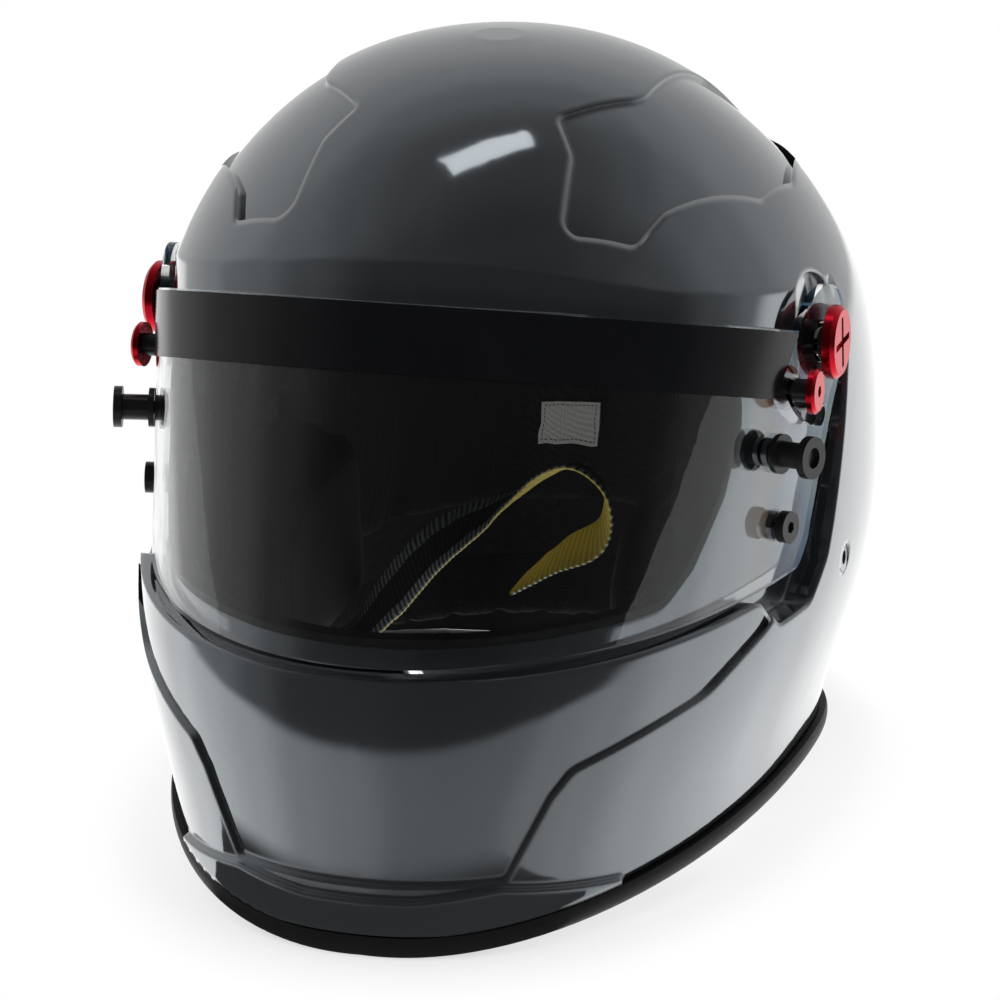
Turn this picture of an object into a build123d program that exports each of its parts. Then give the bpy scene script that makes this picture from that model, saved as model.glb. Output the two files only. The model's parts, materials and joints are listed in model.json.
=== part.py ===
from build123d import *
from math import acos, asin, atan2, cos, degrees, hypot, pi, radians, sin
import os

os.makedirs("parts", exist_ok=True)

# A full-face auto racing helmet, standing on its base trim.
# Front is -Y, the wearer's left is +X, up is +Z, and the floor is at zero.
# All sizes are in millimetres.

# Driving sizes of the shell, and the clearances that all pieces share
shell_height = 274.0
shell_length = 345.0
shell_width = 256.4
shell_wall = 4.0
layer_gap = 0.3
journal_clearance = 0.05
overrun = 60.0
half_length = shell_length / 2
half_width = shell_width / 2
front_limit = half_length + overrun
side_limit = half_width + overrun

# Horizontal sections of the shell, from the floor up, as shares of its sizes:
# height, front, back, half width, widest place; then the exponents of front and back.
section_shares = [
    (-0.060, -0.975, 0.560, 0.840, 0.050, 2.08, 2.02),
    (0.036, -0.982, 0.662, 0.862, 0.034, 2.10, 2.05),
    (0.109, -0.974, 0.789, 0.878, 0.020, 2.16, 2.13),
    (0.219, -0.966, 0.909, 0.944, 0.047, 2.16, 2.22),
    (0.328, -0.946, 0.976, 0.992, 0.078, 2.14, 2.20),
    (0.438, -0.893, 1.000, 1.000, 0.099, 2.12, 2.19),
    (0.547, -0.824, 0.982, 0.988, 0.106, 2.08, 2.19),
    (0.657, -0.739, 0.913, 0.951, 0.101, 2.08, 2.14),
    (0.748, -0.641, 0.812, 0.883, 0.091, 2.09, 2.03),
    (0.821, -0.537, 0.700, 0.791, 0.084, 2.07, 1.97),
    (0.883, -0.421, 0.580, 0.674, 0.080, 2.05, 1.95),
    (0.931, -0.305, 0.469, 0.545, 0.081, 2.04, 1.95),
    (0.964, -0.194, 0.369, 0.414, 0.084, 2.04, 1.97),
    (0.984, -0.096, 0.278, 0.285, 0.087, 2.04, 1.98),
    (0.995, -0.006, 0.192, 0.156, 0.089, 2.03, 1.99),
    (0.9988, 0.046, 0.140, 0.074, 0.090, 2.03, 1.99),
]
section_points = 32
profile_samples = 2400

# Rim of the shell seen from the side: an arch, low in front and behind
rim_end_z_share = 0.0328
rim_end_z = rim_end_z_share * shell_height
rim_side_z_share = 0.0858
rim_side_z = rim_side_z_share * shell_height
rim_front_share = 0.965
rim_back_share = 0.632

# Shield: a clear sheet, single-curved from above, leaning back towards its top
shield_thickness = 3.0
shield_half_width_share = 0.9711
shield_half_width = shield_half_width_share * half_width
shield_widest_y_share = 0.1322
shield_widest_y = shield_widest_y_share * half_length
shield_exponent = 2.05
shield_bottom_z_share = 0.3664
shield_bottom_z = shield_bottom_z_share * shell_height
shield_top_z_share = 0.7774
shield_top_z = shield_top_z_share * shell_height
shield_front_bottom_share = 0.9322
shield_front_bottom = shield_front_bottom_share * half_length
shield_front_top_share = 0.6168
shield_front_top = shield_front_top_share * half_length
shield_bulge = 3.0
shield_gap = 3.0
shield_leg = 50.0
band_slope = 0.35
shield_level_shares = [-0.35, 0.0, 0.5, 1.0, 1.35]
shield_points = 25

# Shield hinge
pivot_y_share = -0.0261
pivot_y = pivot_y_share * half_length
pivot_z_share = 0.6369
pivot_z = pivot_z_share * shell_height
lug_radius = 20.0
shield_travel = 52.0


def section_at(share_of_height):
    """Front, back, half width, widest place and exponents at one height, from the table."""
    rows = section_shares
    for low, high in zip(rows, rows[1:]):
        if share_of_height <= high[0]:
            break
    share = (share_of_height - low[0]) / (high[0] - low[0])
    return [a + (b - a) * share for a, b in zip(low, high)]


def profile_curve(front_column, back_column, across):
    """A smooth curve over the crown through the table's points, as (distance, height) samples."""
    rows = section_shares
    points = [(row[front_column] * across, row[0] * shell_height) for row in rows]
    points += [(row[back_column] * across, row[0] * shell_height) for row in reversed(rows)]
    return Edge.make_spline([Vector(a, b, 0) for a, b in points])


mid_profile = profile_curve(1, 2, shell_length / 2)
half_profile = Edge.make_spline(
    [Vector(-row[3] * shell_width / 2, row[0] * shell_height, 0) for row in section_shares]
    + [Vector(row[3] * shell_width / 2, row[0] * shell_height, 0) for row in reversed(section_shares)]
)


def sampled(edge):
    """Points of a profile that runs over the crown, each with its outward direction."""
    samples = []
    for index in range(profile_samples + 1):
        point = edge.position_at(index / profile_samples)
        tangent = edge.tangent_at(index / profile_samples)
        samples.append((point.X, point.Y, -tangent.Y, tangent.X))
    return samples


mid_samples = sampled(mid_profile)
half_samples = sampled(half_profile)


def inset_samples(samples, depth):
    """A profile moved inwards by depth, as (distance, height) points."""
    return [(x - out_x * depth, z - out_z * depth) for x, z, out_x, out_z in samples]


def distance_at(samples, height):
    """The distance on one leg of a profile at a height; the leg's samples run upwards."""
    for (a, low), (b, high) in zip(samples, samples[1:]):
        if low <= height <= high:
            return a + (b - a) * (height - low) / (high - low)
    raise ValueError("height outside the profile")


def rising(samples):
    top = max(range(len(samples)), key=lambda index: samples[index][1])
    return samples[: top + 1]


def head_form(depth):
    """The closed form of the helmet's outer surface, moved inwards by depth."""
    middle = inset_samples(mid_samples, depth)
    front = rising(middle)
    back = rising(middle[::-1])
    side = rising(inset_samples(half_samples, depth)[::-1])
    low = max(front[0][1], back[0][1], side[0][1])
    high = min(front[-1][1], back[-1][1], side[-1][1])
    wires = []
    first = section_shares[0][0]
    last = section_shares[-1][0]
    for row in section_shares:
        height = low + (high - low) * (row[0] - first) / (1 - first)
        level = section_at(min(max(height / shell_height, first), last))
        widest = level[4] * shell_length / 2
        front_y = distance_at(front, height)
        back_y = distance_at(back, height)
        half = distance_at(side, height)
        wires.append(section_wire(height, front_y, back_y, half, widest, level[5], level[6]))
    return Solid.make_loft(wires)


def section_wire(height, front_y, back_y, half, widest, front_power, back_power):
    """One closed horizontal section, two half superellipses that meet at the widest place."""
    points = []
    for index in range(section_points):
        angle = 2 * pi * index / section_points
        c = cos(angle)
        s = sin(angle)
        power = front_power if c >= 0 else back_power
        reach = 1 / (abs(c) ** power + abs(s) ** power) ** (1 / power)
        end = front_y if c >= 0 else back_y
        points.append(Vector(half * reach * s, widest + (end - widest) * reach * abs(c), height))
    shares = [index / section_points for index in range(section_points + 1)]
    return Wire([Edge.make_spline(points, periodic=True, parameters=shares)])


def side_points(shares):
    """Places in the side view from shares of the half length and the height."""
    return [(across * half_length, up * shell_height) for across, up in shares]


def front_points(shares):
    """Places in the front view from shares of the half width and the height."""
    return [(across * half_width, up * shell_height) for across, up in shares]


def side_prism(outline, radii, grow=0.0):
    """A block with this outline in the side view (y, z), as wide as the helmet and more."""
    face = make_face(FilletPolyline(*outline, radius=radii, close=True))
    if grow != 0:
        face = offset(face, grow)
    return extrude(Plane.YZ.offset(-side_limit) * face, 2 * side_limit)


def front_prism(outline, radii):
    """A block with this outline in the front view (x, z), from the widest place to past the front."""
    face = make_face(FilletPolyline(*outline, radius=radii, close=True))
    return extrude(Plane.XZ * face, front_limit)


def rod(side, y, z, radius, low_x, high_x):
    """A cylinder along X on one side of the helmet, from low_x out to high_x."""
    plane = Plane(origin=(side * low_x, y, z), z_dir=(side, 0, 0))
    return extrude(plane * Circle(radius), high_x - low_x)


def mirrored(solid):
    return mirror(solid, Plane.YZ)


# Shield surface

def shield_front(height):
    """How far the shield's outer face stands in front of the frame's origin at a height."""
    share = (height - shield_bottom_z) / (shield_top_z - shield_bottom_z)
    straight = shield_front_bottom + (shield_front_top - shield_front_bottom) * share
    return straight + 4 * shield_bulge * share * (1 - share)


def shield_x(y, height):
    """The outer face's distance from the middle at a place on the shield's side."""
    depth = (shield_widest_y - y) / (shield_widest_y + shield_front(height))
    return shield_half_width * (1 - depth ** shield_exponent) ** (1 / shield_exponent)


def shield_normal(side, y, height):
    """Direction square to the outer face at a place on the shield's side."""
    step = shield_thickness
    along = (shield_x(y + step, height) - shield_x(y - step, height)) / (2 * step)
    rising = (shield_x(y, height + step) - shield_x(y, height - step)) / (2 * step)
    return Vector(side, -along, -rising).normalized()


def shield_form(inset):
    """The space behind the shield's outer face, moved inwards by inset, with straight legs behind."""
    wires = []
    for share in shield_level_shares:
        height = shield_bottom_z + (shield_top_z - shield_bottom_z) * share
        half = shield_half_width - inset
        depth = shield_widest_y + shield_front(height) - inset
        points = []
        for index in range(shield_points):
            angle = pi * (index / (shield_points - 1) - 0.5)
            c = abs(cos(angle))
            s = sin(angle)
            reach = 1 / (c ** shield_exponent + abs(s) ** shield_exponent) ** (1 / shield_exponent)
            points.append(Vector(half * reach * s, shield_widest_y - depth * reach * c, height))
        points[0] = Vector(-half, shield_widest_y, height)
        points[-1] = Vector(half, shield_widest_y, height)
        back_right = Vector(half, shield_widest_y + shield_leg, height)
        back_left = Vector(-half, shield_widest_y + shield_leg, height)
        shares = [index / (shield_points - 1) for index in range(shield_points)]
        front = Edge.make_spline(points, parameters=shares)
        legs = [Edge.make_line(points[-1], back_right), Edge.make_line(back_right, back_left)]
        wires.append(Wire([front] + legs + [Edge.make_line(back_left, points[0])]))
    return Solid.make_loft(wires)


# Outline of the shield in the side view: bottom edge, rounded rear corner, hinge lug, top edge
shield_corner_y_share = -0.1333
shield_corner_y = shield_corner_y_share * half_length
shield_corner_z_share = 0.4015
shield_corner_z = shield_corner_z_share * shell_height
shield_corner_rise = 9.6
shield_corner_radius = 9.0
notch_y_share = -0.1391
notch_y = notch_y_share * half_length


def top_line(y):
    """Height of the shield's straight top edge in the side view, falling towards the back."""
    return shield_top_z - band_slope * (y + shield_front_top)


def lug_tangent():
    """Where the shield's rear edge meets the round hinge lug."""
    across = pivot_y - shield_corner_y
    up = pivot_z - shield_corner_z
    run = (across**2 + up**2 - lug_radius**2) ** 0.5
    turn = atan2(up, across) - acos(run / hypot(across, up))
    return (shield_corner_y + run * cos(turn), shield_corner_z + run * sin(turn))


def shield_outline():
    """The shield's side view as a face."""
    points = [
        (-front_limit, shield_bottom_z),
        (shield_corner_y - shield_corner_rise, shield_bottom_z),
        (shield_corner_y, shield_corner_z),
        lug_tangent(),
        (pivot_y, pivot_z),
        (notch_y, top_line(notch_y)),
        (-front_limit, top_line(-front_limit)),
    ]
    radii = [0.0, shield_corner_radius, shield_corner_radius, 0.0, 0.0, 0.0, 0.0]
    face = make_face(FilletPolyline(*points, radius=radii, close=True))
    return face + Pos(pivot_y, pivot_z) * Circle(lug_radius)


# Pocket in the shell's sides and front, in which the shield lies
ledge_front_z_share = 0.3533
ledge_front_z = ledge_front_z_share * shell_height
ledge_front_y_share = -0.9623
ledge_front_y = ledge_front_y_share * half_length
ledge_back_z_share = 0.362
ledge_back_z = ledge_back_z_share * shell_height
ledge_back_y_share = -0.3826
ledge_back_y = ledge_back_y_share * half_length
dip_z_share = 0.3193
dip_z = dip_z_share * shell_height
dip_front_y_share = -0.3304
dip_front_y = dip_front_y_share * half_length
dip_back_y_share = -0.1913
dip_back_y = dip_back_y_share * half_length
pocket_margin = 4.0
pocket_corner_radius = 8.0
pocket_rear_radius = 14.0
relief_x_share = 0.8924
relief_x = relief_x_share * half_width
relief_radius = 24.0
pocket_radii = [0.0, pocket_corner_radius / 2, pocket_corner_radius, pocket_corner_radius,
                pocket_rear_radius,
                pocket_corner_radius, pocket_corner_radius, pocket_corner_radius, 0.0]


def pocket_outline():
    across, up = lug_tangent()
    rear = lug_radius + pocket_margin
    ledge_slope = (ledge_front_z - ledge_back_z) / (ledge_back_y - ledge_front_y)
    return [
        (-front_limit, ledge_front_z + ledge_slope * (front_limit + ledge_front_y)),
        (ledge_back_y, ledge_back_z),
        (dip_front_y, dip_z),
        (dip_back_y, dip_z),
        (shield_corner_y + pocket_margin, shield_corner_z - shield_corner_rise),
        (across + pocket_margin, up),
        (pivot_y + rear, pivot_z + rear / 2),
        (pivot_y + rear / 2, pivot_z + lug_radius + rear),
        (-front_limit, top_line(-front_limit) + lug_radius),
    ]


def recessed_form(depth):
    """The shell's outer form moved inwards by depth, with the shield's pocket already sunk in it."""
    pocket = side_prism(pocket_outline(), pocket_radii, depth)
    pocket -= shield_form(shield_thickness + shield_gap + depth)
    form = head_form(depth) - pocket
    for side in (1, -1):
        form -= rod(side, pivot_y, pivot_z, relief_radius + depth, relief_x - depth, front_limit)
    return form


# Rim: what lies below the arch is cut away
rim_stations = 17
rim_front_y = rim_front_share * half_length
rim_back_y = rim_back_share * half_length


def rim_z(y):
    reach = rim_front_y if y < 0 else rim_back_y
    return rim_end_z + (rim_side_z - rim_end_z) * max(0.0, 1 - (y / reach) ** 2)


def below_rim(lift):
    """Everything under the rim's arch raised by lift."""
    places = []
    for index in range(rim_stations):
        y = -rim_front_y + (rim_front_y + rim_back_y) * index / (rim_stations - 1)
        places.append((y, rim_z(y) + lift))
    arch = Spline(*places)
    end_z = rim_end_z + lift
    ends = [(front_limit, end_z), (front_limit, -overrun), (-front_limit, -overrun), (-front_limit, end_z)]
    face = make_face([arch, Polyline(arch @ 1, *ends, arch @ 0)])
    return extrude(Plane.YZ.offset(-side_limit) * face, 2 * side_limit)


def save(name, solid):
    export_step(solid, "parts/" + name + ".step")


# Forms that several pieces share
outer_form = recessed_form(0)
inner_form = recessed_form(shell_wall)
liner_form = recessed_form(shell_wall + layer_gap)

# Eyeport: the opening in the shell behind the shield, seen from the side
eyeport_rear_shares = [(-0.568, 0.389), (-0.487, 0.425), (-0.383, 0.500), (-0.313, 0.580), (-0.296, 0.628)]
eyeport_radius = 12.0
eyeport_top_radius = 8.0
eyeport_radii = [0.0, eyeport_radius, eyeport_radius, eyeport_radius, eyeport_top_radius,
                 eyeport_top_radius, 0.0]


def eyeport_prism(shrink):
    rear = side_points(eyeport_rear_shares)
    top_z = rear[-1][1] + band_slope * (front_limit + rear[-1][0])
    return side_prism([(-front_limit, rear[0][1])] + rear + [(-front_limit, top_z)], eyeport_radii, -shrink)


# Hinge screw and bush of the shield
bush_radius = 7.5
pivot_shank_radius = 3.0
pivot_head_radius = 13.0
pivot_head_height = 4.5
head_clearance = 0.3
cross_width = 2.4
cross_length = 18.0
cross_depth = 1.6
nut_flange_radius = 9.0
nut_flange_thickness = 1.6
nut_barrel_radius = 5.0

# Stop screw and sleeve of the shield
stop_ahead = 23.5
stop_drop = 10.5
stop_y = pivot_y - stop_ahead
stop_z = pivot_z - stop_drop
stop_sleeve_radius = 4.0
stop_shank_radius = 2.0
stop_head_radius = 8.0
stop_head_height = 3.0
stop_nut_radius = 6.0
slot_play = 0.15
socket_radius = 2.2
socket_depth = 1.8
stop_radius = hypot(stop_y - pivot_y, stop_z - pivot_z)
stop_angle = degrees(atan2(stop_z - pivot_z, stop_y - pivot_y))

# Threaded anchor for a head restraint's tether, through the shell on each side
anchor_y_share = 0.0087
anchor_y = anchor_y_share * half_length
anchor_z_share = 0.3358
anchor_z = anchor_z_share * shell_height
anchor_radius = 5.2
anchor_bore = 2.5
anchor_length = 12.0
anchor_flange_radius = 9.0
anchor_flange_thickness = 1.6
anchor_nut_radius = 8.0
anchor_nut_thickness = 2.5


def side_x(y, z):
    """Distance of the shell's outer side from the middle at a place."""
    level = section_at(z / shell_height)
    widest = level[4] * half_length
    end = (level[1] if y < widest else level[2]) * half_length
    power = level[5] if y < widest else level[6]
    share = abs((y - widest) / (end - widest))
    return level[3] * half_width * (1 - share**power) ** (1 / power)


# Where the hardware seats along X
head_seat_x = shield_x(pivot_y + pivot_head_radius, pivot_z) + head_clearance
slot_end_y = pivot_y + stop_radius * cos(radians(stop_angle + shield_travel))
slot_end_z = pivot_z + stop_radius * sin(radians(stop_angle + shield_travel))
stop_seat_x = shield_x(slot_end_y + stop_head_radius, slot_end_z) + head_clearance
stop_wall_x = shield_x(stop_y - stop_nut_radius, stop_z) - shield_thickness - shield_gap - shell_wall
stop_foot_x = stop_wall_x - 2 * layer_gap
pocket_floor_x = shield_x(pivot_y - nut_flange_radius, pivot_z) - shield_thickness - shield_gap
pivot_wall_x = min(relief_x, pocket_floor_x) - shell_wall
pivot_foot_x = pivot_wall_x - 2 * layer_gap - nut_flange_thickness
anchor_face_x = side_x(anchor_y, anchor_z) - layer_gap
anchor_foot_x = anchor_face_x - anchor_length
anchor_flange_x = anchor_face_x - shell_wall - 2 * layer_gap - anchor_flange_thickness

# Crown channels: a shallow recess each side of the raised middle of the crown, from above
channel_depth = 2.2
channel_shares = [(0.281, -0.197), (0.351, -0.272), (0.382, -0.435), (0.562, -0.371), (0.605, -0.272),
                  (0.780, -0.029), (0.803, 0.151), (0.725, 0.406), (0.546, 0.603), (0.484, 0.348),
                  (0.460, -0.035)]
channel_radius_shares = [0.03, 0.05, 0.04, 0.05, 0.05, 0.09, 0.15, 0.12, 0.05, 0.23, 0.15]
channel_floor_share = 0.7

# Chin: a sunk middle panel between two creases, and a small lip along its lower edge
panel_depth = 1.6
crease_shares = [(0.374, 0.095), (0.484, 0.197), (0.534, 0.228), (0.803, 0.276), (0.905, 0.325),
                 (0.952, 0.380)]
crease_radius_shares = [0.016, 0.05, 0.05, 0.08, 0.08, 0.0]
lip_proud = 2.6
lip_height = 9.0
lip_shares = [(0.624, 0.064), (0.367, 0.089), (0.156, 0.078)]


def both_sides(points):
    """An outline's right half, then its mirror image, going round."""
    return points + [(-across, up) for across, up in reversed(points)]


def crown_channel():
    outline = [(across * half_width, along * half_length) for across, along in channel_shares]
    radii = [share * half_width for share in channel_radius_shares]
    face = make_face(FilletPolyline(*outline, radius=radii, close=True))
    floor = channel_floor_share * shell_height
    return extrude(Plane.XY.offset(floor) * face, shell_height) - head_form(channel_depth)


def chin_panel():
    half = [share * half_width for share in crease_radius_shares]
    return front_prism(both_sides(front_points(crease_shares)), half + half[::-1]) - head_form(panel_depth)


def chin_lip():
    top = front_points(lip_shares)
    end_x, end_z = top[0]
    outline = [(end_x, end_z - lip_height)] + top
    radii = [lip_proud / 2, lip_proud / 2, lip_height, lip_height]
    prism = front_prism(both_sides(outline), radii + radii[::-1])
    return prism & head_form(-lip_proud)


def outer_shell():
    channel = crown_channel()
    shell = outer_form - channel - mirrored(channel) - chin_panel()
    shell += chin_lip()
    shell -= inner_form
    shell -= below_rim(0)
    shell -= eyeport_prism(0)
    for side in (1, -1):
        shell -= rod(side, pivot_y, pivot_z, nut_barrel_radius + journal_clearance, overrun, side_limit)
        shell -= rod(side, stop_y, stop_z, stop_sleeve_radius + journal_clearance, overrun, side_limit)
        shell -= rod(side, anchor_y, anchor_z, anchor_radius + journal_clearance, overrun, side_limit)
    return shell


# Base trim: a rubber bead along the shell's rim, oval below and flat where it meets the shell
trim_half_height = 6.0
trim_half_width = 4.8
trim_drop = 3.5
trim_gap = 0.85
trim_stations = 17
trim_arc_points = 9
trim_rounds = 8


def rim_point(turn):
    """A place in the middle of the wall, trim_drop under the rim's arch; turn is 0 in front."""
    c = cos(turn)
    s = sin(turn)
    y = -half_length * c
    for _ in range(trim_rounds):
        level = section_at((rim_z(y) - trim_drop) / shell_height)
        power = level[5] if c >= 0 else level[6]
        end = (level[1] if c >= 0 else level[2]) * half_length
        middle_end = end + shell_wall / 2 if c >= 0 else end - shell_wall / 2
        reach = 1 / (abs(c) ** power + abs(s) ** power) ** (1 / power)
        widest = level[4] * half_length
        y = widest + (middle_end - widest) * reach * abs(c)
    return Vector((level[3] * half_width - shell_wall / 2) * reach * s, y, rim_z(y) - trim_drop)


def trim_section(centre, outward):
    """The bead's section round a place on its path, as a wire in the upright plane square to it."""
    flat = asin((trim_drop - trim_gap) / trim_half_height)
    points = []
    for index in range(trim_arc_points):
        angle = flat - (pi + 2 * flat) * index / (trim_arc_points - 1)
        place = centre + outward * trim_half_width * cos(angle)
        middle_z = rim_z(place.Y) - trim_drop
        points.append(Vector(place.X, place.Y, middle_z + trim_half_height * sin(angle)))
    shares = [index / (trim_arc_points - 1) for index in range(trim_arc_points)]
    return Wire([Edge.make_spline(points, parameters=shares), Edge.make_line(points[-1], points[0])])


def base_trim():
    turns = [pi * index / (trim_stations - 1) for index in range(trim_stations)]
    points = [rim_point(turn) for turn in turns]
    path = Edge.make_spline(points, tangents=[Vector(1, 0, 0), Vector(-1, 0, 0)])
    wires = [trim_section(Vector(0, points[0].Y, points[0].Z), Vector(0, -1, 0))]
    for point in points[1:-1]:
        along = path.tangent_at(path.param_at_point(point))
        wires.append(trim_section(point, Vector(along.Y, -along.X, 0).normalized()))
    wires.append(trim_section(Vector(0, points[-1].Y, points[-1].Z), Vector(0, 1, 0)))
    half = Solid.make_loft(wires) - Pos(0, 0, -overrun / 2) * Box(2 * side_limit, 2 * front_limit, overrun)
    return half + mirrored(half)


# Seal round the eyeport's edge
gasket_proud = 1.0
gasket_width = 2.6


def eyeport_gasket():
    band = eyeport_prism(0) - eyeport_prism(gasket_width)
    return band & (recessed_form(-gasket_proud) - recessed_form(shell_wall + gasket_proud))


# Places of the pieces that the shield carries, and the shanks that pass through it
post_y_share = -0.2464
post_y = post_y_share * half_length
post_z_share = 0.531
post_z = post_z_share * shell_height
stud_y_share = -0.2493
stud_y = stud_y_share * half_length
stud_z_share = 0.4343
stud_z = stud_z_share * shell_height
carried_shank = 2.4


def shield_plane(side, y, z, lift):
    """A plane square to the shield's side at a place, lift outside its outer face."""
    normal = shield_normal(side, y, z)
    origin = Vector(side * shield_x(y, z), y, z) + normal * lift
    return Plane(origin=origin, x_dir=(0, 0, 1), z_dir=normal)


def disc(side, y, z, radius, low, thickness):
    """A round slab on the shield's side, its foot low above the outer face."""
    return extrude(shield_plane(side, y, z, low) * Circle(radius), thickness)


def face_shield():
    sheet = shield_form(0) - shield_form(shield_thickness)
    sheet &= extrude(Plane.YZ.offset(-front_limit) * shield_outline(), 2 * front_limit)
    hinge_line = CenterArc((pivot_y, pivot_z), stop_radius, stop_angle, shield_travel)
    slot = SlotArc(hinge_line, 2 * (stop_sleeve_radius + slot_play))
    sheet -= extrude(Plane.YZ.offset(-front_limit) * slot, 2 * front_limit)
    for side in (1, -1):
        sheet -= rod(side, pivot_y, pivot_z, bush_radius + journal_clearance, overrun, side_limit)
        for y, z in ((post_y, post_z), (stud_y, stud_z)):
            sheet -= disc(side, y, z, carried_shank, -2 * shield_thickness, 3 * shield_thickness)
    return sheet


# Tinted strip along the top of the shield
strip_lift = 0.1
strip_thickness = 0.4
strip_edge = 0.8
strip_height = 25.6
strip_end_y_share = -0.1438
strip_end_y = strip_end_y_share * half_length
strip_corner_y_share = -0.2435
strip_corner_y = strip_corner_y_share * half_length
strip_corner_radius = 8.0


def sun_strip():
    low_z = top_line(strip_corner_y) - strip_height
    points = [(-front_limit, low_z + band_slope * (front_limit + strip_corner_y)), (strip_corner_y, low_z),
              (strip_end_y, top_line(strip_end_y) - strip_edge),
              (-front_limit, top_line(-front_limit) - strip_edge)]
    skin = shield_form(-strip_lift - strip_thickness) - shield_form(-strip_lift)
    return skin & side_prism(points, [0.0, strip_corner_radius, strip_edge, 0.0])


# Hinge of the shield: nut inside the shell, bush, and the big slotted screw that clamps the bush
def pivot_nut(side):
    flange_end = pivot_foot_x + nut_flange_thickness
    nut = rod(side, pivot_y, pivot_z, nut_flange_radius, pivot_foot_x, flange_end)
    nut += rod(side, pivot_y, pivot_z, nut_barrel_radius, pivot_foot_x, relief_x)
    return nut - rod(side, pivot_y, pivot_z, pivot_shank_radius + journal_clearance, 0, side_limit)


def pivot_bush(side):
    bush = rod(side, pivot_y, pivot_z, bush_radius, relief_x, head_seat_x)
    return bush - rod(side, pivot_y, pivot_z, pivot_shank_radius + journal_clearance, 0, side_limit)


def outer_rim(head, side):
    """The edges of a screw head's outer face."""
    return head.edges().group_by(Axis.X)[-1 if side > 0 else 0]


def pivot_screw(side):
    top_x = head_seat_x + pivot_head_height
    head = rod(side, pivot_y, pivot_z, pivot_head_radius, head_seat_x, top_x)
    head = chamfer(outer_rim(head, side), pivot_head_height / 3)
    face = Plane(origin=(side * (top_x - cross_depth), pivot_y, pivot_z), z_dir=(side, 0, 0))
    cross = Rectangle(cross_length, cross_width) + Rectangle(cross_width, cross_length)
    head -= extrude(face * cross, 2 * cross_depth)
    return head + rod(side, pivot_y, pivot_z, pivot_shank_radius, pivot_foot_x, head_seat_x)


# Stop of the shield: sleeve through the shell's wall, in the arc slot, with its socket screw
def stop_sleeve(side):
    sleeve = rod(side, stop_y, stop_z, stop_sleeve_radius, stop_foot_x, stop_seat_x)
    return sleeve - rod(side, stop_y, stop_z, stop_shank_radius + journal_clearance, 0, side_limit)


def stop_screw(side):
    top_x = stop_seat_x + stop_head_height
    head = rod(side, stop_y, stop_z, stop_head_radius, stop_seat_x, top_x)
    head = chamfer(outer_rim(head, side), stop_head_height / 3)
    face = Plane(origin=(side * (top_x - socket_depth), stop_y, stop_z), z_dir=(side, 0, 0))
    head -= extrude(face * RegularPolygon(socket_radius, 6), 2 * socket_depth)
    return head + rod(side, stop_y, stop_z, stop_shank_radius, stop_foot_x, stop_seat_x)


def stop_nut(side):
    return rod(side, stop_y, stop_z, stop_nut_radius, stop_foot_x - nut_flange_thickness, stop_foot_x)


# Tear-off post: a spool on the shield's outer face, screwed through it into a flat nut
post_flange_radius = 7.0
post_flange_thickness = 2.0
post_stem_radius = 4.6
post_stem_length = 9.5
post_end_radius = 7.4
post_end_thickness = 3.0
post_dish_radius = 3.6
carried_seat = 0.3
flat_nut_radius = 5.0
flat_nut_thickness = 2.0
flat_nut_foot = -shield_thickness - carried_seat - flat_nut_thickness


def carried_rod(side, y, z):
    """The threaded shank of a piece that the shield carries, through the sheet and its nut."""
    return disc(side, y, z, carried_shank - slot_play, flat_nut_foot, carried_seat - flat_nut_foot)


def tear_off_post(side):
    stem = carried_seat + post_flange_thickness
    end = stem + post_stem_length
    post = disc(side, post_y, post_z, post_flange_radius, carried_seat, post_flange_thickness)
    post += disc(side, post_y, post_z, post_stem_radius, stem, post_stem_length)
    post += disc(side, post_y, post_z, post_end_radius, end, post_end_thickness)
    post -= disc(side, post_y, post_z, post_dish_radius, end + post_end_thickness - socket_depth, socket_depth)
    return post + carried_rod(side, post_y, post_z)


def flat_nut(side, y, z):
    nut = disc(side, y, z, flat_nut_radius, flat_nut_foot, flat_nut_thickness)
    return nut - disc(side, y, z, carried_shank, flat_nut_foot, flat_nut_thickness)


# Closing stud: a low button with a hex socket near the shield's lower corner
stud_radius = 5.6
stud_height = 3.4


def closing_stud(side):
    stud = disc(side, stud_y, stud_z, stud_radius, carried_seat, stud_height)
    foot = shield_plane(side, stud_y, stud_z, carried_seat + stud_height - socket_depth)
    stud -= extrude(foot * RegularPolygon(socket_radius, 6), socket_depth)
    return stud + carried_rod(side, stud_y, stud_z)


# Anchor and its nut, which hold the hanger plate of the chin strap inside the shell
def restraint_anchor(side):
    body = rod(side, anchor_y, anchor_z, anchor_radius, anchor_foot_x, anchor_face_x)
    flange_end = anchor_flange_x + anchor_flange_thickness
    body += rod(side, anchor_y, anchor_z, anchor_flange_radius, anchor_flange_x, flange_end)
    return body - rod(side, anchor_y, anchor_z, anchor_bore, 0, side_limit)


hanger_thickness = 1.6
hanger_half_width = 16.0
hanger_foot_z_share = 0.1204
hanger_foot_z = hanger_foot_z_share * shell_height
hanger_x_share = 0.8222
hanger_x = hanger_x_share * half_width
hanger_slot_height = 4.0
hanger_bar = 3.0
hanger_top_margin = 3.0
hanger_corner_radius = 12.0
strap_half_width = 12.5
strap_thickness = 2.0
strap_slot_play = 1.0
strap_z = hanger_foot_z + hanger_bar + layer_gap + strap_thickness / 2


def anchor_nut(side):
    end = anchor_flange_x - hanger_thickness
    nut = rod(side, anchor_y, anchor_z, anchor_nut_radius, end - anchor_nut_thickness, end)
    return nut - rod(side, anchor_y, anchor_z, anchor_radius + journal_clearance, 0, side_limit)


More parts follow.
